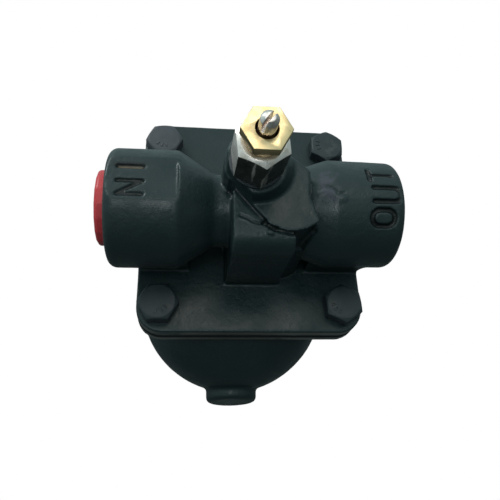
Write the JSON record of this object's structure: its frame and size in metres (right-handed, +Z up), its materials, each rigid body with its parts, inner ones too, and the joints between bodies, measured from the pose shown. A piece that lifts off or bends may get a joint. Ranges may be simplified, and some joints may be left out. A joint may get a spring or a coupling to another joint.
{
  "type": "steam trap",
  "caption": "Ball float steam trap with screwed in-line ports, a bolted float chamber, a thermostatic air vent and a steam lock release valve.",
  "frame": {"origin": "midpoint of the pipe axis between the two port faces", "axes": "+X along the pipe from inlet to outlet, +Z up with the drain boss below, -Y out of the port side of the cover and +Y into the float chamber"},
  "size_m": [0.1276, 0.1912, 0.1316],
  "materials": {
    "casting_paint": "semi-gloss blue-black paint on cast iron",
    "bolt_paint": "semi-gloss blue-black paint on steel",
    "gasket": "matte graphite sheet",
    "stainless": "turned stainless steel",
    "spring_steel": "bright spring steel",
    "sheet_steel": "pressed stainless sheet",
    "packing": "graphite packing",
    "brass": "machined brass",
    "red_plastic": "moulded polyethylene"
  },
  "bodies": {
    "casing": {"body": "casting_paint", "bowl": "casting_paint", "cover_gasket": "gasket", "cover_bolts": "bolt_paint", "release_washer": "bolt_paint", "release_body": "stainless", "packing_washer": "stainless", "stem_packing": "packing", "seat_gasket": "stainless", "main_valve_seat": "stainless", "valve_bracket": "sheet_steel", "bracket_screws": "stainless", "pivot_pin": "stainless", "pin_clips": "spring_steel", "vent_seat": "stainless", "vent_capsule": "sheet_steel", "vent_clamp": "spring_steel", "vent_screws": "stainless"},
    "float_arm": {"float_lever": "sheet_steel", "valve_head": "stainless", "ball_float": "sheet_steel"},
    "spindle_ring": {"retaining_ring": "spring_steel"},
    "spindle": {"release_spindle": "stainless"},
    "gland": {"gland_nut": "brass"},
    "inlet_cap": {"inlet_plug": "red_plastic"},
    "outlet_cap": {"outlet_plug": "red_plastic"},
    "vent_stem": {"vent_valve": "stainless"}
  },
  "joints": [
    {"name": "float_swing", "type": "hinge", "parent": "casing", "child": "float_arm", "pos_m": [0, 0.045, 0.002], "axis": [1, 0, 0], "range_deg": [0, 22]},
    {"name": "spindle_lift", "type": "slide", "parent": "casing", "child": "spindle_ring", "axis": [0, -0.9859, -0.1676], "range_m": [0, 0.0021]},
    {"name": "spindle_turn", "type": "hinge", "parent": "spindle_ring", "child": "spindle", "pos_m": [-0.0021, -0.0192, 0.0062], "axis": [0, -0.9859, -0.1676], "range_deg": [0, 720]},
    {"name": "gland_turn", "type": "hinge", "parent": "casing", "child": "gland", "pos_m": [-0.0021, -0.0192, 0.0062], "axis": [0, -0.9859, -0.1676], "range_deg": [0, 90]},
    {"name": "inlet_pull", "type": "slide", "parent": "casing", "child": "inlet_cap", "axis": [-1, 0, 0], "range_m": [0, 0.05]},
    {"name": "outlet_pull", "type": "slide", "parent": "casing", "child": "outlet_cap", "axis": [1, 0, 0], "range_m": [0, 0.05]},
    {"name": "vent_close", "type": "slide", "parent": "casing", "child": "vent_stem", "axis": [0, -1, 0], "range_m": [0, 0.0007]}
  ],
  "couplings": [
    {"joint": "spindle_lift", "follows": "spindle_turn", "m_per_rad": 0.00015915}
  ]
}
